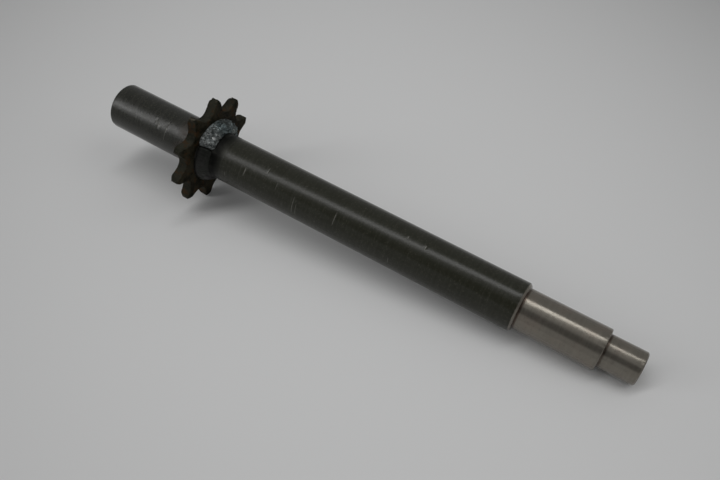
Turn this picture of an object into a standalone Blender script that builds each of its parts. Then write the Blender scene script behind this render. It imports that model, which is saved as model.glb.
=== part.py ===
"""Stepped steel drive shaft with a small roller chain sprocket welded on near its plain end.

The shaft's axis is +X, from the plain end at x = 0 to the stepped end.  +Z is up and passes through
the middle of a tooth space, so the sprocket stands on two teeth.  All lengths are in metres.
"""
import math

import bmesh
import bpy

MM = 0.001
GAP = 0.3 * MM                     # clearance kept between touching pieces

# Shaft, turned from one bar
BODY_DIAMETER = 19.05 * MM
SEAT_DIAMETER = 16.0 * MM          # bearing seat next to the body
TAIL_DIAMETER = 12.75 * MM         # smaller seat at the tip
BODY_LENGTH = 185.6 * MM
SEAT_LENGTH = 31.2 * MM
TAIL_LENGTH = 13.9 * MM
PLAIN_END_CHAMFER = 0.5 * MM
SHOULDER_CHAMFER = 0.8 * MM
SEAT_CHAMFER = 0.3 * MM
TIP_CHAMFER = 0.5 * MM
SHAFT_SEGMENTS = 96

# Sprocket for a 12.7 mm pitch chain with 7.75 mm rollers
TEETH = 10
PITCH = 12.7 * MM
ROLLER_DIAMETER = 7.75 * MM
SPROCKET_CENTRE = 45.05 * MM       # middle of its thickness, from the plain end
SPROCKET_THICKNESS = 4.3 * MM
TIP_RADIUS = 22.95 * MM
TIP_CROWN = 1.6 * MM               # how far a tooth's corners lie below its tip
RIM_CHAMFER_RADIAL = 1.7 * MM      # turned chamfer on both sides of the rim
RIM_CHAMFER_AXIAL = 0.75 * MM
BLANK_OVERSIZE = 0.4 * MM          # the blank's rim stands this far outside the tooth tips
ARC_STEPS = 6
CROWN_STEPS = 6
BLANK_SEGMENTS = 120

# Weld beads in the corner between the shaft and the sprocket's right face
UPPER_BEAD = {"start": -4.0, "end": 128.0, "axial": 5.5 * MM, "radial": 3.9 * MM, "fullness": 1.7}
LOWER_BEAD = {"start": 133.0, "end": 351.0, "axial": 5.0 * MM, "radial": 3.4 * MM, "fullness": 1.35}
BEAD_STEP = 4.0                    # degrees between two cross-sections
BEAD_PROFILE_STEPS = 7
BEAD_END_TAPER = 14.0              # degrees over which a bead's end rounds off
BEAD_END_SIZE = 0.3                # share of the full size left at its very end


def clear_scene():
    """Remove every object of the scene this script runs in."""
    for obj in list(bpy.data.objects):
        bpy.data.objects.remove(obj, do_unlink=True)


def make_material(name, colour, metallic, roughness):
    """Return a plain Principled material."""
    material = bpy.data.materials.new(name)
    material.use_nodes = True
    shader = material.node_tree.nodes["Principled BSDF"]
    shader.inputs["Base Color"].default_value = (*colour, 1.0)
    shader.inputs["Metallic"].default_value = metallic
    shader.inputs["Roughness"].default_value = roughness
    return material


def add_object(name, bm, material):
    """Turn a bmesh into an object with outward faces, smooth on its round stretches."""
    bmesh.ops.recalc_face_normals(bm, faces=bm.faces)
    mesh = bpy.data.meshes.new(name)
    bm.to_mesh(mesh)
    bm.free()
    mesh.shade_smooth()
    mesh.set_sharp_from_angle(angle=math.radians(30))
    mesh.materials.append(material)
    obj = bpy.data.objects.new(name, mesh)
    bpy.context.scene.collection.objects.link(obj)
    return obj


def turned_ring(bm, profile, segments):
    """Turn (x, radius) points about the X axis and return one ring of vertices per point."""
    rings = []
    for x, radius in profile:
        ring = []
        for step in range(segments):
            angle = 2 * math.pi * step / segments
            ring.append(bm.verts.new((x, radius * math.cos(angle), radius * math.sin(angle))))
        rings.append(ring)
    return rings


def bridge_rings(bm, rings, closed):
    """Join each ring to the next one, and the last to the first where closed."""
    pairs = list(zip(rings, rings[1:]))
    if closed:
        pairs.append((rings[-1], rings[0]))
    for ring, following in pairs:
        count = len(ring)
        for step in range(count):
            after = (step + 1) % count
            bm.faces.new((ring[step], ring[after], following[after], following[step]))


# ---------------------------------------------------------------- shaft

def shaft_profile():
    """Return the shaft's outline from the plain end to the tip as (x, radius) points."""
    body = BODY_DIAMETER / 2
    seat = SEAT_DIAMETER / 2
    tail = TAIL_DIAMETER / 2
    shoulder = BODY_LENGTH
    step = shoulder + SEAT_LENGTH
    tip = step + TAIL_LENGTH
    return [
        (0.0, body - PLAIN_END_CHAMFER),
        (PLAIN_END_CHAMFER, body),
        (shoulder - SHOULDER_CHAMFER, body),
        (shoulder, body - SHOULDER_CHAMFER),
        (shoulder, seat),
        (step - SEAT_CHAMFER, seat),
        (step, seat - SEAT_CHAMFER),
        (step, tail),
        (tip - TIP_CHAMFER, tail),
        (tip, tail - TIP_CHAMFER),
    ]


def build_shaft():
    bm = bmesh.new()
    rings = turned_ring(bm, shaft_profile(), SHAFT_SEGMENTS)
    bridge_rings(bm, rings, closed=False)
    bm.faces.new(rings[0])
    bm.faces.new(rings[-1])
    material = make_material("blackened_steel", (0.075, 0.075, 0.07), 0.85, 0.42)
    return add_object("shaft", bm, material)


# ---------------------------------------------------------------- sprocket

def polar(radius, angle):
    return radius * math.cos(angle), radius * math.sin(angle)


def arc(centre, radius, start, sweep, steps):
    """Return the points of an arc after its first one."""
    points = []
    for step in range(1, steps + 1):
        dx, dy = polar(radius, start + sweep * step / steps)
        points.append((centre[0] + dx, centre[1] + dy))
    return points


def half_tooth_space():
    """Return one side of a tooth space, from its root out to the tooth's corner.

    The space is centred on the second axis.  It is the standard roller chain form: a seating arc
    round the roller, a working arc, a short straight and the tooth's convex top arc.
    """
    roller = ROLLER_DIAMETER
    seating_radius = 0.5025 * roller
    working_radius = 1.3025 * roller
    seating_angle = math.radians(35 + 60 / TEETH)
    working_angle = math.radians(18 - 56 / TEETH)
    pressure_angle = math.radians(17 - 64 / TEETH)
    roller_centre = (0.0, PITCH / (2 * math.sin(math.pi / TEETH)))

    points = [(0.0, roller_centre[1] - seating_radius)]
    points += arc(roller_centre, seating_radius, -math.pi / 2, seating_angle, ARC_STEPS)

    direction = seating_angle - math.pi / 2
    offset = polar(working_radius - seating_radius, direction)
    working_centre = (roller_centre[0] - offset[0], roller_centre[1] - offset[1])
    points += arc(working_centre, working_radius, direction, working_angle, ARC_STEPS // 2)

    normal = direction + working_angle
    straight = roller * (1.4 * math.sin(pressure_angle) - 0.8 * math.sin(working_angle))
    along = polar(straight, normal + math.pi / 2)
    points.append((points[-1][0] + along[0], points[-1][1] + along[1]))

    top_radius = roller * (0.8 * math.cos(working_angle) + 1.4 * math.cos(pressure_angle) - 1.3025)
    out = polar(top_radius, normal)
    top_centre = (points[-1][0] + out[0], points[-1][1] + out[1])
    corner_radius = TIP_RADIUS - TIP_CROWN
    distance = math.hypot(*top_centre)
    cosine = (distance**2 + top_radius**2 - corner_radius**2) / (2 * distance * top_radius)
    inward = math.atan2(-top_centre[1], -top_centre[0])
    start = normal + math.pi
    end = inward - math.acos(max(-1.0, min(1.0, cosine)))
    sweep = (end - start + math.pi) % (2 * math.pi) - math.pi
    points += arc(top_centre, top_radius, start, sweep, ARC_STEPS)
    return points


def sprocket_outline():
    """Return the closed outline of all teeth as (y, z) points, with a space at +Z."""
    half = half_tooth_space()
    side = [(math.hypot(*point), math.atan2(point[0], point[1])) for point in half]
    half_pitch = math.pi / TEETH
    corner_angle = side[-1][1]
    outline = []
    for tooth in range(TEETH):
        space = math.pi / 2 + tooth * 2 * half_pitch
        outline += [polar(radius, space - angle) for radius, angle in reversed(side)]
        outline += [polar(radius, space + angle) for radius, angle in side[1:]]
        for step in range(1, CROWN_STEPS):
            across = 2 * step / CROWN_STEPS - 1
            radius = TIP_RADIUS - TIP_CROWN * across**2
            outline.append(polar(radius, space + half_pitch + across * (half_pitch - corner_angle)))
    return outline


def toothed_cutter(outline):
    """Return a prism of the tooth outline, longer than the blank is thick."""
    bm = bmesh.new()
    reach = SPROCKET_THICKNESS
    rings = []
    for x in (SPROCKET_CENTRE - reach, SPROCKET_CENTRE + reach):
        rings.append([bm.verts.new((x, y, z)) for y, z in outline])
    bridge_rings(bm, rings, closed=False)
    for ring in rings:
        bm.faces.new(ring)
    cutter = add_object("tooth_form_cutter", bm, make_material("cutter", (0.8, 0.2, 0.2), 0.0, 0.5))
    cutter.hide_render = True
    cutter.display_type = "WIRE"
    return cutter


def build_sprocket():
    """Turn the blank with its bore and rim chamfers, then keep what lies inside the tooth form."""
    left = SPROCKET_CENTRE - SPROCKET_THICKNESS / 2
    right = SPROCKET_CENTRE + SPROCKET_THICKNESS / 2
    bore = BODY_DIAMETER / 2 + GAP
    rim = TIP_RADIUS + BLANK_OVERSIZE
    inset = RIM_CHAMFER_AXIAL * (1 + BLANK_OVERSIZE / RIM_CHAMFER_RADIAL)
    blank = [
        (left, bore),
        (left, TIP_RADIUS - RIM_CHAMFER_RADIAL),
        (left + inset, rim),
        (right - inset, rim),
        (right, TIP_RADIUS - RIM_CHAMFER_RADIAL),
        (right, bore),
    ]
    bm = bmesh.new()
    bridge_rings(bm, turned_ring(bm, blank, BLANK_SEGMENTS), closed=True)
    material = make_material("rusty_steel", (0.06, 0.045, 0.035), 0.35, 0.7)
    sprocket = add_object("sprocket", bm, material)
    cut = sprocket.modifiers.new("tooth_form", "BOOLEAN")
    cut.operation = "INTERSECT"
    cut.object = toothed_cutter(sprocket_outline())
    return sprocket


# ---------------------------------------------------------------- weld beads

def bead_section(bead, size):
    """Return a fillet's cross-section as (distance from the face, height over the shaft)."""
    section = [(GAP, GAP)]
    for step in range(BEAD_PROFILE_STEPS + 1):
        angle = math.pi / 2 * step / BEAD_PROFILE_STEPS
        power = 2 / bead["fullness"]
        axial = (bead["axial"] - GAP) * size * math.cos(angle) ** power
        radial = (bead["radial"] - GAP) * size * math.sin(angle) ** power
        section.append((GAP + axial, GAP + radial))
    return section


def end_size(distance):
    """Return the share of a bead's full size at this many degrees from its nearer end."""
    if distance >= BEAD_END_TAPER:
        return 1.0
    rise = 1 - distance / BEAD_END_TAPER
    return BEAD_END_SIZE + (1 - BEAD_END_SIZE) * math.sqrt(1 - rise**2)


def build_bead(name, bead, material):
    """Sweep the fillet's cross-section round the shaft, against the sprocket's right face."""
    face = SPROCKET_CENTRE + SPROCKET_THICKNESS / 2
    surface = BODY_DIAMETER / 2
    sections = round((bead["end"] - bead["start"]) / BEAD_STEP)
    bm = bmesh.new()
    rings = []
    for index in range(sections + 1):
        along = (bead["end"] - bead["start"]) * index / sections
        distance = min(along, bead["end"] - bead["start"] - along)
        angle = math.radians(bead["start"] + along)
        ring = []
        for axial, radial in bead_section(bead, end_size(distance)):
            y, z = polar(surface + radial, angle)
            ring.append(bm.verts.new((face + axial, y, z)))
        rings.append(ring)
    bridge_rings(bm, rings, closed=False)
    bm.faces.new(rings[0])
    bm.faces.new(rings[-1])
    return add_object(name, bm, material)


def main():
    clear_scene()
    build_shaft()
    build_sprocket()
    bright = make_material("weld_metal", (0.42, 0.46, 0.48), 0.9, 0.38)
    smooth = make_material("smooth_weld_metal", (0.16, 0.16, 0.17), 0.85, 0.42)
    build_bead("weld_bead_upper", UPPER_BEAD, bright)
    build_bead("weld_bead_lower", LOWER_BEAD, smooth)


main()
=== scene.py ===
"""Looks for the sprocket shaft: worn dark bar, bare turned seats, rusty sprocket, lumpy weld.

The shaft's axis is +X from its plain end at the origin.  Lengths are in metres.
"""
import math
import random

import bpy
import numpy as np
from mathutils import Matrix, Vector, noise


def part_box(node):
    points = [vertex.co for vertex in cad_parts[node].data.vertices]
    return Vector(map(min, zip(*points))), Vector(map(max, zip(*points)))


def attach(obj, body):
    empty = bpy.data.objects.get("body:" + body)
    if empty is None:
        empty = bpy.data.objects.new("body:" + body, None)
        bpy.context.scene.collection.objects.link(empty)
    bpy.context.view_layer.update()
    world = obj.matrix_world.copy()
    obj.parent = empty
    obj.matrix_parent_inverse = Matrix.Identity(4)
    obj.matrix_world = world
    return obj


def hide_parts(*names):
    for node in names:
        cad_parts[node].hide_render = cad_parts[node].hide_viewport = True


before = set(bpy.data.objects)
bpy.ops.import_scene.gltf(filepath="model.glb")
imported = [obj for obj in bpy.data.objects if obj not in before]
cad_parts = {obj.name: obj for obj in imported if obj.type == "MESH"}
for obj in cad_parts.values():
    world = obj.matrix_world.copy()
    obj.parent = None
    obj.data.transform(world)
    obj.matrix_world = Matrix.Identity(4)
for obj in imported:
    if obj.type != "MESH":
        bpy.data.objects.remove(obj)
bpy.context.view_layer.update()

MM = 0.001

# ---------------------------------------------------------------- sizes, from the frame

SHAFT_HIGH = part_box("shaft")[1]
SPROCKET_LOW, SPROCKET_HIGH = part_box("sprocket")
LENGTH = SHAFT_HIGH[0]
BODY_RADIUS = SHAFT_HIGH[1]
SPROCKET_LEFT = SPROCKET_LOW[0]
SPROCKET_RIGHT = SPROCKET_HIGH[0]
SPROCKET_MIDDLE = (SPROCKET_LEFT + SPROCKET_RIGHT) / 2
TIP_RADIUS = SPROCKET_HIGH[1]

# Turned steps, as on the CAD shaft
SEAT_RADIUS = 8.0 * MM
TAIL_RADIUS = 6.375 * MM
TAIL_LENGTH = 13.9 * MM
SEAT_LENGTH = 31.2 * MM
SHOULDER_CHAMFER = 0.8 * MM
PLAIN_END_CHAMFER = 0.5 * MM
SEAT_CHAMFER = 0.3 * MM
TIP_CHAMFER = 0.5 * MM
STEP_X = LENGTH - TAIL_LENGTH
SHOULDER_X = STEP_X - SEAT_LENGTH

# Tooth form, as on the CAD sprocket
TEETH = 10
PITCH = 12.7 * MM
ROLLER_DIAMETER = 7.75 * MM
TIP_CROWN = 1.6 * MM
RIM_CHAMFER_RADIAL = 1.7 * MM
RIM_CHAMFER_AXIAL = 0.75 * MM

# Floor: pale round its centre, with painted shade darker away from it, standing in for the light's
# falloff
FLOOR_CENTRE = (0.1186, 0.0, 0.0)
FLOOR_TURN = 46.5               # degrees that the pale patch is turned by
FLOOR_REACH = (0.392, 0.524)    # where the patch would fade to black along its own two axes
FLOOR_PAINTED_SHADE = 0.40          # but no more than this share is taken off
FLOOR_BRIGHTNESS = 0.60         # radiance that the floor receives, averaged over its sky

CAMERA_TARGET = Vector((0.1203, -0.0041, -0.0028))
CAMERA_DISTANCE = 0.3026
CAMERA_AZIMUTH = 28.58          # degrees; 0 looks along +Y
CAMERA_ELEVATION = 51.87
CAMERA_ROLL = -4.21
SENSOR_WIDTH = 36.0             # mm, as is the lens
CAMERA_LENS = 39.66


# ---------------------------------------------------------------- mesh helpers

def grid_mesh(name, rows, closed_rows):
    """Make an object from a grid of points, row by row, each row a closed ring.

    closed_rows joins the last row to the first; otherwise both ends get a centre fan.
    """
    rows = np.asarray(rows, dtype=float)
    count, width, _ = rows.shape
    vertices = rows.reshape(-1, 3).tolist()
    faces = []
    for row in range(count if closed_rows else count - 1):
        following = (row + 1) % count
        for column in range(width):
            after = (column + 1) % width
            faces.append((row * width + column, row * width + after,
                          following * width + after, following * width + column))
    if not closed_rows:
        for row, flip in ((0, True), (count - 1, False)):
            centre = len(vertices)
            vertices.append(rows[row].mean(axis=0).tolist())
            for column in range(width):
                pair = (row * width + column, row * width + (column + 1) % width)
                faces.append((pair[1], pair[0], centre) if flip else (*pair, centre))
    mesh = bpy.data.meshes.new(name)
    mesh.from_pydata(vertices, [], faces)
    mesh.validate()
    obj = bpy.data.objects.new(name, mesh)
    bpy.context.scene.collection.objects.link(obj)
    face_outward(mesh)
    mesh.shade_smooth()
    return obj


def face_outward(mesh):
    """Flip all faces if the closed mesh encloses a negative volume."""
    volume = 0.0
    mesh.calc_loop_triangles()
    for triangle in mesh.loop_triangles:
        a, b, c = (mesh.vertices[index].co for index in triangle.vertices)
        volume += a.dot(b.cross(c))
    if volume < 0:
        mesh.flip_normals()


def fractal(point, scale, octaves=4):
    """Smooth noise from -1 to 1 at about this size of detail, in metres."""
    return noise.fractal(Vector(point) / scale, 0.6, 2.1, octaves)


def press_in(obj, depth_at, extra=None):
    """Move each vertex inward along its normal by depth_at(position) and its extra, never outward."""
    mesh = obj.data
    extra = extra or [0.0] * len(mesh.vertices)
    moved = [vertex.co - vertex.normal * (max(0.0, depth_at(vertex.co)) + more)
             for vertex, more in zip(mesh.vertices, extra)]
    for vertex, place in zip(mesh.vertices, moved):
        vertex.co = place
    mesh.update()


def store(obj, name, values):
    """Keep one number per vertex on the mesh, for its material to read."""
    layer = obj.data.attributes.new(name, "FLOAT", "POINT")
    layer.data.foreach_set("value", np.asarray(values, dtype=np.float32))


def smoothstep(low, high, value):
    """0 below low, 1 above high, and a smooth rise between them."""
    share = min(1.0, max(0.0, (value - low) / (high - low)))
    return share * share * (3 - 2 * share)


def polar(radius, angle):
    return radius * math.cos(angle), radius * math.sin(angle)


# ---------------------------------------------------------------- node helpers

class Nodes:
    """The node tree of a material or a world, with short calls for the nodes used here."""

    def __init__(self, owner, shader, coordinates):
        owner.use_nodes = True
        self.owner = owner
        self.tree = owner.node_tree
        self.shader = self.tree.nodes[shader]
        self.place = self.add("ShaderNodeTexCoord").outputs[coordinates]

    def add(self, kind, inputs=(), **settings):
        node = self.tree.nodes.new(kind)
        for key, value in settings.items():
            setattr(node, key, value)
        for key, value in dict(inputs).items():
            self.put(node.inputs[key], value)
        return node

    def put(self, socket, value):
        if isinstance(value, bpy.types.NodeSocket):
            self.tree.links.new(value, socket)
        else:
            socket.default_value = value

    def noise(self, fineness, detail=4.0, rough=0.55, distortion=0.0):
        """Noise with about this many patches per metre: one number, or three for X, Y and Z."""
        factors = fineness if isinstance(fineness, tuple) else (fineness,) * 3
        place = self.add("ShaderNodeVectorMath", {0: self.place, 1: factors}, operation="MULTIPLY")
        inputs = {"Vector": place.outputs[0], "Scale": 1.0, "Detail": detail, "Roughness": rough,
                  "Distortion": distortion}
        return self.add("ShaderNodeTexNoise", inputs).outputs["Fac"]

    def ramp(self, value, low, high, start=0.0, end=1.0):
        """Value from low..high mapped smoothly to start..end, clamped."""
        inputs = {"Value": value, "From Min": low, "From Max": high, "To Min": start, "To Max": end}
        return self.add("ShaderNodeMapRange", inputs,
                        interpolation_type="SMOOTHSTEP").outputs["Result"]

    def math(self, operation, first, second):
        return self.add("ShaderNodeMath", {0: first, 1: second}, operation=operation).outputs[0]

    def times(self, first, second):
        return self.math("MULTIPLY", first, second)

    def plus(self, first, second):
        return self.math("ADD", first, second)

    def blend(self, factor, first, second):
        """Mix two colours, each an (r, g, b) or a socket."""
        colours = [value if isinstance(value, bpy.types.NodeSocket) else (*value, 1.0)
                   for value in (first, second)]
        return self.add("ShaderNodeMix", {0: factor, 6: colours[0], 7: colours[1]},
                        data_type="RGBA").outputs[2]

    def stored(self, name):
        return self.add("ShaderNodeAttribute", attribute_name=name).outputs["Fac"]

    def bump(self, height, strength, distance, normal=None):
        inputs = {"Height": height, "Strength": strength, "Distance": distance}
        if normal is not None:
            inputs["Normal"] = normal
        return self.add("ShaderNodeBump", inputs).outputs["Normal"]

    def finish(self, **inputs):
        """Set the shader's sockets, named with underscores for spaces."""
        for key, value in inputs.items():
            if isinstance(value, tuple):
                value = (*value, 1.0)
            self.put(self.shader.inputs[key.replace("_", " ")], value)
        return self.owner


def material_nodes(name):
    """The nodes of a new material, painted by the object's own coordinates."""
    return Nodes(bpy.data.materials.new(name), "Principled BSDF", "Object")


def round_the_shaft(nodes):
    """A tangent that runs round the shaft's axis, along its turning marks."""
    return nodes.add("ShaderNodeTangent", direction_type="RADIAL", axis="X").outputs["Tangent"]


# ---------------------------------------------------------------- shaft

SHAFT_SEGMENTS = 256
CORNER_STEPS = 4
MARK_WIDTH = 0.22 * MM
MARK_DEPTH = 0.05 * MM
RANDOM_MARKS = 22

# Deeper scratches round the body: place along it in mm, first and last angle from +Y, strength
DEEP_MARKS = [
    (23.2, 116, 133, 0.8), (24.7, 124, 141, 0.7), (28.8, 110, 162, 0.7), (60.1, 160, 172, 0.6),
    (68.4, 126, 149, 1.0), (77.5, 101, 118, 0.6), (83.4, 124, 143, 0.5), (92.2, 134, 182, 0.9),
    (93.8, 148, 181, 0.5), (110.3, 122, 157, 1.0), (135.3, 164, 181, 0.7), (138.9, 97, 103, 1.0),
    (146.4, 99, 109, 1.0),
]


def rounded_corner(before, corner, after, radius):
    """Points of a curve that rounds a profile's corner, radius long on both sides."""
    corner, before, after = (np.array(point, dtype=float) for point in (corner, before, after))
    start = corner + (before - corner) * min(radius / np.linalg.norm(before - corner), 0.5)
    end = corner + (after - corner) * min(radius / np.linalg.norm(after - corner), 0.5)
    points = []
    for step in range(CORNER_STEPS + 1):
        share = step / CORNER_STEPS
        points.append(start * (1 - share) ** 2 + corner * 2 * share * (1 - share) + end * share**2)
    return points


def all_marks():
    """The deep marks and random ones round the rest of the body, in metres and degrees."""
    marks = [(x * MM, first, last, strength) for x, first, last, strength in DEEP_MARKS]
    draw = random.Random(41)
    for _ in range(RANDOM_MARKS):
        first = draw.uniform(185, 420)
        marks.append((draw.uniform(5 * MM, SHOULDER_X - 5 * MM), first, first + draw.uniform(8, 55),
                      draw.uniform(0.3, 0.9)))
    return marks


def mark_strength(place, marks):
    """How deep in a scratch this place is, from 0 to 1."""
    angle = math.degrees(math.atan2(place.z, place.y))
    deepest = 0.0
    for x, first, last, strength in marks:
        if abs(place.x - x) > MARK_WIDTH:
            continue
        turn = (angle - first) % 360
        span = last - first
        if turn < span:
            along = math.sin(math.pi * turn / span) ** 0.5
            deepest = max(deepest, strength * along * (1 - abs(place.x - x) / MARK_WIDTH))
    return deepest


def with_mark_rows(outline, marks):
    """Add rows of points to the outline on and beside each mark."""
    body = [point for point in outline if PLAIN_END_CHAMFER < point[0] < SHOULDER_X - SHOULDER_CHAMFER]
    first = outline.index(body[0])
    rest = outline[first + len(body):]
    for x, *_ in marks:
        body += [(x + step * MARK_WIDTH, BODY_RADIUS) for step in (-1.05, -0.5, 0.0, 0.5, 1.05)]
    return outline[:first] + sorted(body) + rest


def shaft_outline():
    """The turned outline as (x, radius), with every edge slightly rounded and long runs divided."""
    soft = 0.12 * MM
    root = 0.35 * MM
    corners = [
        ((0.0, BODY_RADIUS - PLAIN_END_CHAMFER), soft),
        ((PLAIN_END_CHAMFER, BODY_RADIUS), soft),
        ((SHOULDER_X - SHOULDER_CHAMFER, BODY_RADIUS), soft),
        ((SHOULDER_X, BODY_RADIUS - SHOULDER_CHAMFER), soft),
        ((SHOULDER_X, SEAT_RADIUS), root),
        ((STEP_X - SEAT_CHAMFER, SEAT_RADIUS), soft),
        ((STEP_X, SEAT_RADIUS - SEAT_CHAMFER), soft),
        ((STEP_X, TAIL_RADIUS), root),
        ((LENGTH - TIP_CHAMFER, TAIL_RADIUS), soft),
        ((LENGTH, TAIL_RADIUS - TIP_CHAMFER), soft),
    ]
    path = [(0.0, 0.0)] + [place for place, _ in corners] + [(LENGTH, 0.0)]
    points = []
    for index, (place, radius) in enumerate(corners):
        points += rounded_corner(path[index], place, path[index + 2], radius)
    divided = []
    longest = 1.2 * MM
    for start, end in zip(points, points[1:]):
        pieces = max(1, math.ceil(np.linalg.norm(end - start) / longest))
        divided += [start + (end - start) * step / pieces for step in range(pieces)]
    divided.append(points[-1])
    face_steps = (0.02, 0.3, 0.55, 0.8, 0.93)
    left = [(0.0, divided[0][1] * share) for share in face_steps]
    right = [(LENGTH, divided[-1][1] * share) for share in reversed(face_steps)]
    return left + [tuple(point) for point in divided] + right


def shaft_wear_depth(place):
    """Small dings along the edges and a hardly uneven surface."""
    radius = math.hypot(place.y, place.z)
    edges = ((0.3 * MM, BODY_RADIUS), (SHOULDER_X - 0.5 * MM, BODY_RADIUS), (STEP_X, SEAT_RADIUS),
             (LENGTH, TAIL_RADIUS))
    away = min(abs(place.x - edge_x) + abs(radius - edge_radius) for edge_x, edge_radius in edges)
    near_edge = 1 - smoothstep(0.0, 1.0 * MM, away)
    ding = smoothstep(0.25, 0.6, fractal(place, 2.4 * MM))
    return near_edge * ding * 0.14 * MM + 0.006 * MM * (1 + fractal(place, 5 * MM, 2))


def build_shaft():
    marks = all_marks()
    rows = []
    angles = np.linspace(0, 2 * math.pi, SHAFT_SEGMENTS, endpoint=False)
    for x, radius in with_mark_rows(shaft_outline(), marks):
        rows.append(np.column_stack([np.full_like(angles, x), radius * np.cos(angles),
                                     radius * np.sin(angles)]))
    shaft = grid_mesh("turned_shaft", rows, closed_rows=False)
    scratched = [mark_strength(vertex.co, marks) for vertex in shaft.data.vertices]
    store(shaft, "mark", scratched)
    press_in(shaft, shaft_wear_depth, [MARK_DEPTH * strength for strength in scratched])
    # The short end past the sprocket is the glossier one.
    for material in (dark_bar_material("dark_bar", specular=0.25), turned_material(),
                     faced_end_material(), dark_bar_material("worn_bar", specular=0.46)):
        shaft.data.materials.append(material)
    bare, faced, worn = 1, 2, 3
    bare_from = SHOULDER_X - SHOULDER_CHAMFER - 0.02 * MM
    faced_to = 0.03 * MM
    for face in shaft.data.polygons:
        if face.center.x > bare_from:
            face.material_index = bare
        elif face.center.x < faced_to:
            face.material_index = faced
        elif face.center.x < SPROCKET_MIDDLE:
            face.material_index = worn
    return shaft


# ---------------------------------------------------------------- sprocket

def arc(centre, radius, start, sweep, steps):
    """The points of an arc after its first one."""
    points = []
    for step in range(1, steps + 1):
        dx, dy = polar(radius, start + sweep * step / steps)
        points.append((centre[0] + dx, centre[1] + dy))
    return points


def half_tooth_space():
    """One side of a tooth space, from its root to the tooth's corner, centred on the second axis.

    The bare numbers are those of the standard tooth form for roller chain.
    """
    roller = ROLLER_DIAMETER
    seating_radius = 0.5025 * roller
    working_radius = 1.3025 * roller
    seating_angle = math.radians(35 + 60 / TEETH)
    working_angle = math.radians(18 - 56 / TEETH)
    pressure_angle = math.radians(17 - 64 / TEETH)
    centre = (0.0, PITCH / (2 * math.sin(math.pi / TEETH)))
    points = [(0.0, centre[1] - seating_radius)]
    points += arc(centre, seating_radius, -math.pi / 2, seating_angle, 14)
    direction = seating_angle - math.pi / 2
    offset = polar(working_radius - seating_radius, direction)
    working_centre = (centre[0] - offset[0], centre[1] - offset[1])
    points += arc(working_centre, working_radius, direction, working_angle, 7)
    normal = direction + working_angle
    straight = roller * (1.4 * math.sin(pressure_angle) - 0.8 * math.sin(working_angle))
    along = polar(straight, normal + math.pi / 2)
    points.append((points[-1][0] + along[0], points[-1][1] + along[1]))
    top_radius = roller * (0.8 * math.cos(working_angle) + 1.4 * math.cos(pressure_angle) - 1.3025)
    out = polar(top_radius, normal)
    top_centre = (points[-1][0] + out[0], points[-1][1] + out[1])
    distance = math.hypot(*top_centre)
    corner = TIP_RADIUS - TIP_CROWN
    cosine = (distance**2 + top_radius**2 - corner**2) / (2 * distance * top_radius)
    start = normal + math.pi
    end = math.atan2(-top_centre[1], -top_centre[0]) - math.acos(max(-1.0, min(1.0, cosine)))
    sweep = (end - start + math.pi) % (2 * math.pi) - math.pi
    return points + arc(top_centre, top_radius, start, sweep, 10)


def sprocket_outline():
    """The closed outline of all teeth as an array of (y, z), with a space at +Z."""
    side = [(math.hypot(*point), math.atan2(point[0], point[1])) for point in half_tooth_space()]
    half_pitch = math.pi / TEETH
    corner_angle = side[-1][1]
    crown_steps = 12
    outline = []
    for tooth in range(TEETH):
        space = math.pi / 2 + tooth * 2 * half_pitch
        outline += [polar(radius, space - angle) for radius, angle in reversed(side)]
        outline += [polar(radius, space + angle) for radius, angle in side[1:]]
        for step in range(1, crown_steps):
            across = 2 * step / crown_steps - 1
            radius = TIP_RADIUS - TIP_CROWN * across**2
            outline.append(polar(radius, space + half_pitch + across * (half_pitch - corner_angle)))
    return np.array(outline)


def edge_stations():
    """(distance in from the face, inset from the outline) down one rounded edge to mid thickness."""
    rounding = 0.3 * MM
    stations = []
    for step in range(6):
        angle = math.pi / 2 * step / 5
        stations.append((rounding * (1 - math.cos(angle)), rounding * (1 - math.sin(angle))))
    half = SPROCKET_MIDDLE - SPROCKET_LEFT
    for share in (0.25, 0.35, 0.45, 0.6, 0.8):
        stations.append((half * share, 0.0))
    return stations


def sprocket_rows():
    """Closed loops of points: out of the bore on the left face, over the teeth, back on the right."""
    outline = sprocket_outline()
    along = np.roll(outline, -1, axis=0) - np.roll(outline, 1, axis=0)
    outward = np.stack([along[:, 1], -along[:, 0]], axis=1)
    outward /= np.linalg.norm(outward, axis=1)[:, None]
    bore = BODY_RADIUS + 0.02 * MM

    def loop(x, depth, inset, share):
        """A ring at x, this deep below the face, inset, and this share of the way in to the bore."""
        inner = outline - outward * inset
        radius = np.linalg.norm(inner, axis=1)
        cap = TIP_RADIUS - RIM_CHAMFER_RADIAL * max(0.0, 1 - depth / RIM_CHAMFER_AXIAL) - inset * 0.3
        inner = inner * np.minimum(1.0, cap / radius)[:, None]
        radius = np.linalg.norm(inner, axis=1)
        inner = inner * ((radius * (1 - share) + bore * share) / radius)[:, None]
        return np.column_stack([np.full(len(inner), x), inner])

    shares = (1.0, 0.9, 0.78, 0.66, 0.54, 0.43, 0.33, 0.24, 0.16, 0.09, 0.03)
    edge = edge_stations()
    rows = [loop(SPROCKET_LEFT, 0.0, edge[0][1], share) for share in shares]
    rows += [loop(SPROCKET_LEFT + depth, depth, inset, 0.0) for depth, inset in edge]
    rows.append(loop(SPROCKET_MIDDLE, SPROCKET_MIDDLE - SPROCKET_LEFT, 0.0, 0.0))
    rows += [loop(SPROCKET_RIGHT - depth, depth, inset, 0.0) for depth, inset in reversed(edge)]
    rows += [loop(SPROCKET_RIGHT, 0.0, edge[0][1], share) for share in reversed(shares)]
    return rows


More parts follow.
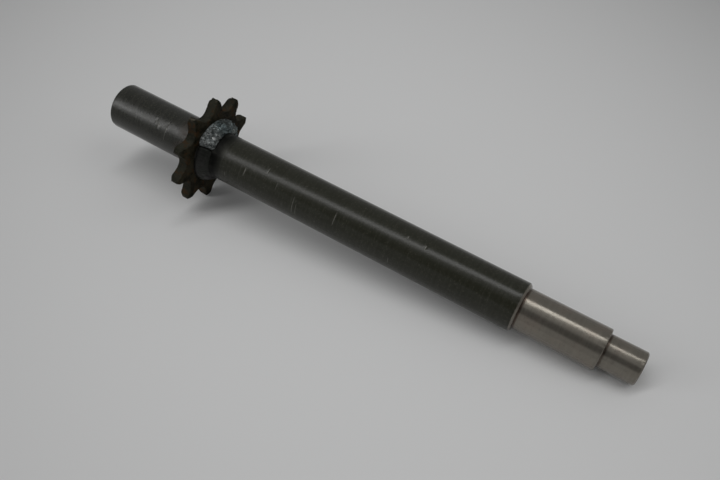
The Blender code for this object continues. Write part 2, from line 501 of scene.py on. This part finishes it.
def sprocket_pit_depth(place):
    """Rust pits and an uneven forged skin, deeper at the edges of the teeth."""
    coarse = 0.5 + 0.5 * fractal(place, 3.2 * MM)
    pits = smoothstep(0.15, 0.55, fractal(place, 1.1 * MM, 3))
    elsewhere = Vector((7, 3, 5))       # so that the nicks don't follow the pits
    nick = smoothstep(0.3, 0.6, fractal(place + elsewhere, 1.9 * MM, 3))
    radius = math.hypot(place.y, place.z)
    outer = smoothstep(0.75 * TIP_RADIUS, TIP_RADIUS, radius)
    # The teeth turned to -Y have lost the most at their tips.
    tip = smoothstep(0.9 * TIP_RADIUS, TIP_RADIUS, radius) * (0.2 - 0.15 * place.y / radius)
    return (0.07 * coarse + 0.06 * pits + 0.22 * nick * outer + tip) * MM


def build_sprocket():
    sprocket = grid_mesh("sprocket_plate", sprocket_rows(), closed_rows=True)
    press_in(sprocket, sprocket_pit_depth)
    rubbed = []
    heat = []
    land = []
    for vertex in sprocket.data.vertices:
        place = vertex.co
        radius = math.hypot(place.y, place.z)
        top = smoothstep(TIP_RADIUS - 1.3 * MM, TIP_RADIUS - 0.2 * MM, radius)
        centred = 1 - smoothstep(1.0 * MM, 2.2 * MM, abs(place.x - SPROCKET_MIDDLE))
        rubbed.append(top * centred)
        heat.append(1 - smoothstep(BODY_RADIUS + 3 * MM, BODY_RADIUS + 7 * MM, radius))
        land.append(1 - smoothstep(1.5 * MM, 2.0 * MM, abs(place.x - SPROCKET_MIDDLE)))
    store(sprocket, "rubbed", rubbed)
    store(sprocket, "heat", heat)
    store(sprocket, "land", land)
    sprocket.data.materials.append(rust_material())
    return sprocket


# ---------------------------------------------------------------- weld

WELD_SINK = 0.25 * MM       # how far a bead reaches into the sprocket and the shaft
BEAD_END = 13.0             # degrees that each end of a bead takes to rise

# A painted glint on the top bead, a highlight painted into its colour: from the sprocket's face, above
# the shaft, degrees from +Y
PAINTED_GLINT_AWAY = 3.8 * MM
PAINTED_GLINT_HEIGHT = 2.4 * MM
PAINTED_GLINT_ANGLE = 105.0


def bead_rows(start, end, axial, radial, fullness, rings, around, lump):
    """Sweep a fillet round the shaft against the sprocket's right face.

    start and end are degrees from +Y.  axial is a pair, the size along the shaft at both ends,
    and radial is the size up the sprocket.  fullness is 1 for a flat fillet and 2 for a round one.
    The bead has this many rings along it, with this many steps around each.
    lump(along, across) is the extra height there, in metres, with along in degrees and across
    from 0 on the shaft to 1 on the sprocket.
    """
    power = 2 / fullness
    rows = []
    for ring in range(rings + 1):
        # Rings crowd together at the ends, which are round.
        share = 0.5 - 0.5 * math.cos(math.pi * ring / rings)
        along = start + (end - start) * share
        reach = axial[0] + (axial[1] - axial[0]) * share
        missing = max(0.0, 1 - min(along - start, end - along) / BEAD_END)
        size = math.sqrt(max(0.0, 1 - missing**2.2))
        row = []
        for step in range(around + 1):
            across = step / around
            angle = math.pi / 2 * across
            out = lump(along, across) * math.sin(math.pi * across) ** 0.5 * size
            away = reach * size * math.cos(angle) ** power + out * math.cos(angle)
            height = radial * size * math.sin(angle) ** power + out * math.sin(angle)
            row.append((away, height))
        row.append((-WELD_SINK, max(row[-1][1] * 0.6, 0.0)))
        row.append((-WELD_SINK, -WELD_SINK))
        row.append((row[0][0] * 0.6, -WELD_SINK))
        turn = math.radians(along)
        rows.append([(SPROCKET_RIGHT + away, *polar(BODY_RADIUS + height, turn))
                     for away, height in row])
    return rows


def top_bead_lump(along, across):
    """A hand-laid run bunched into lumps, with coarse ripples and a rough skin."""
    ripple_pitch = 17.0
    place = Vector((across * 6 * MM, *polar(12 * MM, math.radians(along))))
    wander = 6.0 * fractal(place, 5 * MM, 2)
    bowed = along + wander - 9.0 * math.sin(math.pi * across)
    ripple = abs(math.sin(math.radians(bowed) * 360 / ripple_pitch / 2))
    lumps = fractal(place, 2.6 * MM, 3)
    skin = fractal(place, 0.8 * MM, 4)
    return (0.25 * ripple + 1.05 * lumps + 0.36 * skin) * MM


def lower_bead_lump(along, across):
    """Faint even ripples of the smooth run, with lengthwise ridges between its passes."""
    ripple_pitch = 6.5
    pass_count = 2.6
    place = Vector((across * 5 * MM, *polar(12 * MM, math.radians(along))))
    bowed = along - 7.0 * math.sin(math.pi * across)
    ripple = 0.5 + 0.5 * math.sin(math.radians(bowed) * 360 / ripple_pitch)
    passes = math.cos(2 * math.pi * pass_count * (across + 0.04 * fractal(place, 6 * MM, 2)))
    uneven = fractal(place, 4.5 * MM, 2)
    return (0.06 * ripple + 0.13 * passes + 0.26 * uneven + 0.04 * fractal(place, 1 * MM, 3)) * MM


def build_top_bead():
    rows = bead_rows(start=-6.0, end=131.0, axial=(3.2 * MM, 5.5 * MM), radial=4.5 * MM,
                     fullness=1.6, rings=280, around=46, lump=top_bead_lump)
    bead = grid_mesh("weld_bead_top", rows, closed_rows=False)
    places = [vertex.co.copy() for vertex in bead.data.vertices]
    angles = [math.degrees(math.atan2(place.z, place.y)) for place in places]
    store(bead, "fresh", [smoothstep(70, 112, angle) for angle in angles])
    # A painted glint: a highlight painted into the bead's colour round this spot.
    across = polar(BODY_RADIUS + PAINTED_GLINT_HEIGHT, math.radians(PAINTED_GLINT_ANGLE))
    spot = Vector((SPROCKET_RIGHT + PAINTED_GLINT_AWAY, *across))
    store(bead, "painted_glint", [1 - smoothstep(0.3 * MM, 1.0 * MM, (place - spot).length)
                          for place in places])
    bead.data.materials.append(bright_weld_material())
    return bead


def build_lower_bead():
    rows = bead_rows(start=124.0, end=360.0, axial=(4.9 * MM, 4.4 * MM), radial=3.3 * MM,
                     fullness=1.4, rings=280, around=34, lump=lower_bead_lump)
    bead = grid_mesh("weld_bead_under", rows, closed_rows=False)
    bead.data.materials.append(smooth_weld_material())
    return bead


# ---------------------------------------------------------------- materials

def axial_band(nodes, start, full, end_full, end):
    """1 between full and end_full along the shaft, fading to 0 at start and end, all in metres."""
    x = nodes.add("ShaderNodeSeparateXYZ", {0: nodes.place}).outputs[0]
    return nodes.times(nodes.ramp(x, start, full), nodes.ramp(x, end_full, end, 1.0, 0.0))


def dark_bar_material(name, specular):
    """Dark oxide skin with fine turning marks, scratches, rust and weld scale beside the sprocket.

    The skin is darker and a little rougher towards the plain end.  specular is how glossy it is.
    """
    pale_fleck = (0.062, 0.060, 0.045)
    rubbed_line = (0.12, 0.12, 0.10)
    rust = (0.050, 0.026, 0.014)
    weld_scale = (0.0045, 0.0047, 0.0040)
    scraped_steel = (0.30, 0.29, 0.26)
    nodes = material_nodes(name)
    rings = nodes.noise((4200, 40, 40), detail=3, rough=0.65)
    streak = nodes.noise((1100, 45, 45), detail=3, rough=0.6)
    fleck = nodes.noise((1700, 1000, 1000), detail=4, rough=0.75)
    patch = nodes.noise(240, detail=5, rough=0.65)
    left_part = axial_band(nodes, -10 * MM, 0.0, 30 * MM, 75 * MM)
    streaked = nodes.ramp(streak, 0.34, 0.66)
    right_skin = nodes.blend(streaked, (0.0222, 0.0225, 0.0152), (0.0268, 0.0272, 0.0192))
    left_skin = nodes.blend(streaked, (0.0110, 0.0113, 0.0078), (0.0180, 0.0183, 0.0138))
    base = nodes.blend(nodes.times(left_part, 0.8), right_skin, left_skin)
    base = nodes.blend(nodes.ramp(fleck, 0.52, 0.68, 0.0, 0.6), base, pale_fleck)
    light_streak = nodes.times(nodes.ramp(rings, 0.60, 0.72), nodes.ramp(streak, 0.50, 0.62))
    base = nodes.blend(nodes.times(light_streak, 0.22), base, rubbed_line)
    rusty = axial_band(nodes, SPROCKET_LEFT - 11 * MM, SPROCKET_LEFT - 1 * MM,
                       SPROCKET_RIGHT, SPROCKET_RIGHT + 1 * MM)
    rusty = nodes.times(rusty, nodes.ramp(patch, 0.38, 0.60))
    base = nodes.blend(nodes.times(rusty, 0.8), base, rust)
    scale = axial_band(nodes, SPROCKET_RIGHT - 1 * MM, SPROCKET_RIGHT,
                       SPROCKET_RIGHT + 6.5 * MM, SPROCKET_RIGHT + 12 * MM)
    scale = nodes.times(scale, nodes.ramp(patch, 0.30, 0.52, 0.55, 1.0))
    base = nodes.blend(nodes.times(scale, 0.95), base, weld_scale)
    mark = nodes.times(nodes.stored("mark"), nodes.ramp(fleck, 0.25, 0.55, 0.4, 1.0))
    base = nodes.blend(nodes.times(mark, 0.6), base, scraped_steel)
    height = nodes.plus(nodes.times(rings, 0.5), nodes.times(streak, 0.5))
    normal = nodes.bump(height, 0.20, 0.06 * MM)
    normal = nodes.bump(fleck, 0.22, 0.05 * MM, normal)
    smooth_part = nodes.plus(nodes.ramp(streak, 0.35, 0.65, 0.19, 0.22), nodes.times(left_part, 0.02))
    rough = nodes.plus(smooth_part, nodes.times(nodes.plus(rusty, scale), 0.32))
    metallic = nodes.math("MAXIMUM", nodes.times(mark, 0.5), nodes.times(scale, 0.6))
    return nodes.finish(Base_Color=base, Metallic=metallic, Roughness=rough, IOR=1.5,
                        Specular_IOR_Level=specular, Normal=normal, Anisotropic=0.35,
                        Anisotropic_Rotation=0.25, Tangent=round_the_shaft(nodes))


def turned_material():
    """Bare turned steel with fine feed marks, a light brown stain, and grime with painted shade in its
    inner corners.
    """
    brown_stain = (0.215, 0.180, 0.150)
    dark_speck = (0.130, 0.117, 0.095)
    grime_and_shade = (0.060, 0.040, 0.028)
    nodes = material_nodes("turned_steel")
    feed = nodes.noise((6500, 30, 30), detail=2, rough=0.6)
    band = nodes.noise((1500, 60, 60), detail=3, rough=0.6)
    stain = nodes.noise(120, detail=5, rough=0.62)
    speck = nodes.noise((1400, 1000, 1000), detail=3, rough=0.7)
    base = nodes.blend(nodes.ramp(band, 0.35, 0.65), (0.190, 0.174, 0.147), (0.212, 0.195, 0.165))
    base = nodes.blend(nodes.ramp(stain, 0.46, 0.66, 0.0, 0.6), base, brown_stain)
    base = nodes.blend(nodes.ramp(speck, 0.54, 0.70, 0.0, 0.6), base, dark_speck)
    # Grime with painted shade: darker, browner bands just past the shoulder and the step, where the
    # inner corners lie in shade.
    corner = nodes.plus(*(axial_band(nodes, x - 0.1 * MM, x, x + 0.4 * MM, x + 1.2 * MM)
                          for x in (SHOULDER_X, STEP_X)))
    grimy_and_shaded = nodes.times(corner, nodes.ramp(stain, 0.30, 0.55, 0.55, 0.95))
    base = nodes.blend(grimy_and_shaded, base, grime_and_shade)
    mottle = nodes.plus(nodes.times(band, 0.5), nodes.times(stain, 0.5))
    rough = nodes.ramp(mottle, 0.38, 0.62, 0.205, 0.255)
    normal = nodes.bump(feed, 0.22, 0.04 * MM)
    normal = nodes.bump(speck, 0.10, 0.04 * MM, normal)
    return nodes.finish(Base_Color=base, Metallic=0.68, Roughness=rough, Normal=normal,
                        Anisotropic=0.4, Anisotropic_Rotation=0.25, Tangent=round_the_shaft(nodes))


def faced_end_material():
    """The plain end's face: faced steel gone dull, with a faint blue tint."""
    nodes = material_nodes("faced_end")
    cloud = nodes.noise(220, detail=5, rough=0.6)
    lines = nodes.noise((400, 2600, 120), detail=3)
    base = nodes.blend(nodes.ramp(cloud, 0.35, 0.68), (0.07, 0.085, 0.095), (0.2, 0.2, 0.19))
    normal = nodes.bump(lines, 0.4, 0.06 * MM)
    return nodes.finish(Base_Color=base, Metallic=0.8, Roughness=0.45, Normal=normal)


def rust_material():
    """Brown-black rusty plate, greyer on its edges, faintly rubbed at the tips, dark by the weld."""
    edge_grey = (0.034, 0.035, 0.0275)
    red_rust = (0.052, 0.0275, 0.0120)
    pale_grain = (0.060, 0.048, 0.030)
    bare_steel = (0.20, 0.19, 0.155)
    burnt = (0.0034, 0.0031, 0.0018)
    nodes = material_nodes("rusty_plate")
    cloud = nodes.noise(170, detail=6, rough=0.65)
    grain = nodes.noise(900, detail=5, rough=0.7)
    bloom = nodes.noise(330, detail=5, rough=0.6)
    clouded = nodes.ramp(cloud, 0.41, 0.59)
    base = nodes.blend(clouded, (0.0105, 0.0100, 0.0062), (0.0340, 0.0300, 0.0195))
    greyed = nodes.times(nodes.stored("land"), nodes.ramp(cloud, 0.30, 0.60, 0.25, 0.65))
    base = nodes.blend(greyed, base, edge_grey)
    base = nodes.blend(nodes.ramp(bloom, 0.50, 0.66, 0.0, 0.75), base, red_rust)
    base = nodes.blend(nodes.ramp(grain, 0.54, 0.70, 0.0, 0.5), base, pale_grain)
    bare = nodes.times(nodes.stored("rubbed"), nodes.ramp(bloom, 0.50, 0.62))
    base = nodes.blend(nodes.times(bare, 0.4), base, bare_steel)
    base = nodes.blend(nodes.times(nodes.stored("heat"), 0.85), base, burnt)
    metallic = nodes.times(bare, 0.6)
    rough = nodes.ramp(cloud, 0.35, 0.65, 0.50, 0.68)
    height = nodes.plus(nodes.times(grain, 0.7), bloom)
    normal = nodes.bump(height, 0.7, 0.16 * MM)
    return nodes.finish(Base_Color=base, Metallic=metallic, Roughness=rough, IOR=1.22,
                        Specular_IOR_Level=0.12, Normal=normal)


def bright_weld_material():
    """Silver-blue weld metal with grey oxide islands, fresher at its near end, with painted sparkle and
    a painted glint: highlights painted in near-white.
    """
    fresh_metal = (0.268, 0.284, 0.280)
    oxide = (0.045, 0.054, 0.052)
    painted_glint_colour = (0.80, 0.81, 0.80)
    nodes = material_nodes("bright_weld")
    island = nodes.noise(420, detail=5, rough=0.65, distortion=0.4)
    tint = nodes.noise(180, detail=3)
    grain = nodes.noise(1500, detail=4, rough=0.7)
    base = nodes.blend(nodes.ramp(tint, 0.35, 0.65), (0.115, 0.145, 0.150), (0.155, 0.165, 0.155))
    base = nodes.blend(nodes.times(nodes.stored("fresh"), 0.8), base, fresh_metal)
    base = nodes.blend(nodes.ramp(island, 0.45, 0.62, 0.0, 0.88), base, oxide)
    spark = nodes.noise(700, detail=2)
    # Painted sparkle and the painted glint: highlights painted in near-white, a little glossier.
    painted_sparkle = nodes.times(nodes.stored("fresh"), nodes.ramp(spark, 0.60, 0.68))
    painted_glint = nodes.math("MAXIMUM", nodes.stored("painted_glint"), nodes.times(painted_sparkle, 0.45))
    base = nodes.blend(painted_glint, base, painted_glint_colour)
    rough = nodes.math("SUBTRACT", nodes.ramp(island, 0.4, 0.65, 0.30, 0.6), nodes.times(painted_glint, 0.12))
    normal = nodes.bump(nodes.plus(nodes.times(grain, 0.5), island), 0.6, 0.2 * MM)
    return nodes.finish(Base_Color=base, Metallic=0.75, Roughness=rough, Normal=normal)


def smooth_weld_material():
    """Smooth dark weld, faintly tinted by its heat."""
    dark_grain = (0.0085, 0.0075, 0.0055)
    nodes = material_nodes("smooth_weld")
    tint = nodes.noise(150, detail=4)
    grain = nodes.noise(1300, detail=4, rough=0.65)
    base = nodes.blend(nodes.ramp(tint, 0.36, 0.64), (0.0095, 0.0112, 0.0076), (0.0225, 0.0212, 0.0205))
    base = nodes.blend(nodes.ramp(grain, 0.56, 0.74, 0.0, 0.6), base, dark_grain)
    normal = nodes.bump(grain, 0.3, 0.08 * MM)
    return nodes.finish(Base_Color=base, Metallic=0.4, Roughness=0.42, IOR=1.4, Normal=normal)


def floor_material():
    """Pale matt surface with painted shade that darkens it slowly away from the shaft's middle."""
    nodes = material_nodes("pale_floor")
    patch = nodes.add("ShaderNodeMapping", {
        "Vector": nodes.place, "Location": FLOOR_CENTRE, "Rotation": (0, 0, math.radians(FLOOR_TURN)),
        "Scale": (*FLOOR_REACH, 1.0)}, vector_type="TEXTURE").outputs[0]
    flat = nodes.add("ShaderNodeVectorMath", {0: patch, 1: (1, 1, 0)}, operation="MULTIPLY").outputs[0]
    away = nodes.add("ShaderNodeVectorMath", {0: flat, 1: flat},
                     operation="DOT_PRODUCT").outputs["Value"]
    # Painted shade: the floor's colour darkens away from its centre, standing in for the light's
    # falloff.
    shade = nodes.math("SUBTRACT", 1.0, nodes.math("MINIMUM", away, FLOOR_PAINTED_SHADE))
    base = nodes.blend(shade, (0.0, 0.0, 0.0), (0.80, 0.80, 0.80))
    return nodes.finish(Base_Color=base, Roughness=0.6, Specular_IOR_Level=0.1)


# ---------------------------------------------------------------- camera, floor and light

def add_camera():
    """Look down at the shaft from its right, with the camera rolled a few degrees."""
    azimuth, elevation, roll = (math.radians(angle) for angle in (
        CAMERA_AZIMUTH, CAMERA_ELEVATION, CAMERA_ROLL))
    level = math.cos(elevation)
    forward = Vector((-math.sin(azimuth) * level, math.cos(azimuth) * level, -math.sin(elevation)))
    flat = Vector((math.cos(azimuth), math.sin(azimuth), 0.0))
    over = flat.cross(forward)
    up = over * math.cos(roll) + flat * math.sin(roll)
    right = forward.cross(up)
    data = bpy.data.cameras.new("camera")
    data.sensor_width = SENSOR_WIDTH
    data.lens = CAMERA_LENS
    data.clip_start = 0.01
    data.clip_end = 50.0
    camera = bpy.data.objects.new("camera", data)
    bpy.context.scene.collection.objects.link(camera)
    turn = Matrix((right, up, -forward)).transposed()
    camera.matrix_world = Matrix.Translation(CAMERA_TARGET - forward * CAMERA_DISTANCE) @ turn.to_4x4()
    bpy.context.scene.camera = camera


def rest_plane():
    """The floor's point under the sprocket and its slope: two teeth and the seat's edge touch it."""
    tooth_x = SPROCKET_RIGHT - RIM_CHAMFER_AXIAL
    tooth_z = -TIP_RADIUS * math.cos(math.pi / TEETH)
    seat_x = STEP_X - SEAT_CHAMFER
    slope = (-SEAT_RADIUS - tooth_z) / (seat_x - tooth_x)
    return Vector((tooth_x, 0.0, tooth_z)), slope


def add_floor():
    """A wide pale surface, tilted so that the sprocket's teeth and the seat's edge rest on it."""
    point, slope = rest_plane()
    half = 3.0
    drop = 0.05 * MM
    corners = []
    for x, y in ((-half, -half), (half, -half), (half, half), (-half, half)):
        corners.append((point.x + x, y, point.z - drop + slope * x))
    mesh = bpy.data.meshes.new("floor")
    mesh.from_pydata(corners, [], [(0, 1, 2, 3)])
    floor = bpy.data.objects.new("floor", mesh)
    bpy.context.scene.collection.objects.link(floor)
    mesh.materials.append(floor_material())


def add_area_light(name, place, aim, size, energy, spin=0.0):
    data = bpy.data.lights.new(name, "AREA")
    data.shape = "RECTANGLE"
    data.size, data.size_y = size
    data.energy = energy
    light = bpy.data.objects.new(name, data)
    bpy.context.scene.collection.objects.link(light)
    direction = Vector(aim) - Vector(place)
    turn = direction.to_track_quat("-Z", "Y").to_matrix().to_4x4()
    light.matrix_world = Matrix.Translation(place) @ turn @ Matrix.Rotation(spin, 4, "Z")


def add_panel(name, azimuth, elevation, spread, share):
    """A square soft panel that gives this share of the floor's light.

    All three angles are in degrees: azimuth from +X to +Y, spread from its middle to its side.
    """
    distance = 1.5
    azimuth, elevation, spread = (math.radians(angle) for angle in (azimuth, elevation, spread))
    direction = Vector((*polar(math.cos(elevation), azimuth), math.sin(elevation)))
    side = 2 * distance * math.tan(spread)
    received = share * math.pi * FLOOR_BRIGHTNESS
    energy = math.pi * received * distance**2 / direction.z
    middle = Vector(FLOOR_CENTRE)
    add_area_light(name, middle + direction * distance, middle, (side, side), energy)


def add_lights():
    """A long ceiling light running diagonally over the shaft and two soft panels past its ends."""
    height = 5.0
    middle = Vector((-0.55, -0.42, 1.0)) * height
    size = (2.0 * height, 0.18 * height)
    share = 0.40
    slant_loss = 2.1        # it hangs off to one side, so less of its light reaches the floor
    received = share * math.pi * FLOOR_BRIGHTNESS
    energy = math.pi * received * slant_loss * height**2
    down = Vector((0, 0, -1))
    add_area_light("ceiling_light", middle, middle + down, size, energy, spin=math.radians(51.3))
    add_panel("right_panel", azimuth=24, elevation=52, spread=18, share=0.15)
    add_panel("left_panel", azimuth=217, elevation=23, spread=9, share=0.055)


def add_world():
    """A grey room: brighter above and low on the near side, dim between, dark at the camera's stand."""
    nodes = Nodes(bpy.data.worlds.new("room"), "Background", "Generated")
    apart = nodes.add("ShaderNodeSeparateXYZ", {0: nodes.place}).outputs
    towards_stand = (-0.05, -0.705, 0.705)
    stand = nodes.add("ShaderNodeVectorMath", {0: nodes.place, 1: towards_stand},
                      operation="DOT_PRODUCT").outputs["Value"]
    side = nodes.ramp(apart["Y"], -0.5, 0.5, 0.10, 0.28)
    above = nodes.ramp(apart["Z"], 0.82, 0.93, 0.0, 0.33)
    near = nodes.ramp(apart["Y"], -0.55, -0.25, 0.36, 0.0)
    near_low = nodes.times(near, nodes.ramp(apart["Z"], 0.38, 0.48, 1.0, 0.0))
    room = nodes.math("MAXIMUM", nodes.math("MAXIMUM", side, above), near_low)
    shade = nodes.ramp(stand, 0.93, 0.985, 1.0, 0.15)
    bpy.context.scene.world = nodes.finish(Color=(0.99, 1.0, 1.0), Strength=nodes.times(room, shade))


# ---------------------------------------------------------------- the scene

def place_piece(piece, node):
    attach(piece, "root")
    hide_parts(node)


def main():
    bpy.context.scene.view_settings.view_transform = "Standard"
    add_camera()
    add_floor()
    add_lights()
    add_world()
    place_piece(build_shaft(), "shaft")
    place_piece(build_sprocket(), "sprocket")
    place_piece(build_top_bead(), "weld_bead_upper")
    place_piece(build_lower_bead(), "weld_bead_lower")
    bpy.context.view_layer.update()


main()
